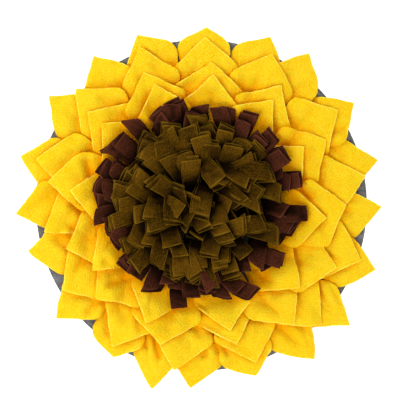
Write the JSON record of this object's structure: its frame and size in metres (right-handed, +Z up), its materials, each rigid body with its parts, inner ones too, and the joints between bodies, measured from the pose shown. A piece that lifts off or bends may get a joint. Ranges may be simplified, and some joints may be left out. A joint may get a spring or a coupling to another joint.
{
  "type": "snuffle mat",
  "caption": "Round sunflower snuffle mat: rings of yellow fleece petals and a domed centre of brown and olive fleece strips, sewn onto a grey felt disc, for hiding dry food in.",
  "frame": {"origin": "middle of the felt disc's underside, on the floor it lies on", "axes": "+Z up out of the strips' dome; +Y towards the top of the flower as it is pictured; +X to its right"},
  "size_m": [0.4421, 0.4384, 0.0695],
  "materials": {
    "grey_felt": "heathered grey needled felt, matt",
    "yellow_fleece": "bright yellow polar fleece, short brushed nap over a fine knit rib, matt",
    "brown_fleece": "dark brown polar fleece with cut edges, matt",
    "olive_fleece": "olive polar fleece with cut edges, matt"
  },
  "bodies": {
    "root": {"base_disc": "grey_felt", "outer_petal_01": "yellow_fleece", "outer_petal_02": "yellow_fleece", "outer_petal_03": "yellow_fleece", "outer_petal_04": "yellow_fleece", "outer_petal_05": "yellow_fleece", "outer_petal_06": "yellow_fleece", "outer_petal_07": "yellow_fleece", "outer_petal_08": "yellow_fleece", "outer_petal_09": "yellow_fleece", "outer_petal_10": "yellow_fleece", "outer_petal_11": "yellow_fleece", "outer_petal_12": "yellow_fleece", "outer_petal_13": "yellow_fleece", "outer_petal_14": "yellow_fleece", "outer_petal_15": "yellow_fleece", "outer_petal_16": "yellow_fleece", "outer_petal_17": "yellow_fleece", "outer_petal_18": "yellow_fleece", "outer_petal_19": "yellow_fleece", "outer_petal_20": "yellow_fleece", "second_petal_01": "yellow_fleece", "second_petal_02": "yellow_fleece", "second_petal_03": "yellow_fleece", "second_petal_04": "yellow_fleece", "second_petal_05": "yellow_fleece", "second_petal_06": "yellow_fleece", "second_petal_07": "yellow_fleece", "second_petal_08": "yellow_fleece", "second_petal_09": "yellow_fleece", "second_petal_10": "yellow_fleece", "second_petal_11": "yellow_fleece", "second_petal_12": "yellow_fleece", "second_petal_13": "yellow_fleece", "second_petal_14": "yellow_fleece", "third_petal_01": "yellow_fleece", "third_petal_02": "yellow_fleece", "third_petal_03": "yellow_fleece", "third_petal_04": "yellow_fleece", "third_petal_05": "yellow_fleece", "third_petal_06": "yellow_fleece", "third_petal_07": "yellow_fleece", "third_petal_08": "yellow_fleece", "third_petal_09": "yellow_fleece", "third_petal_10": "yellow_fleece", "third_petal_11": "yellow_fleece", "third_petal_12": "yellow_fleece", "third_petal_13": "yellow_fleece", "inner_petals": "yellow_fleece", "brown_strips": "brown_fleece", "olive_strips": "olive_fleece"}
  },
  "joints": []
}
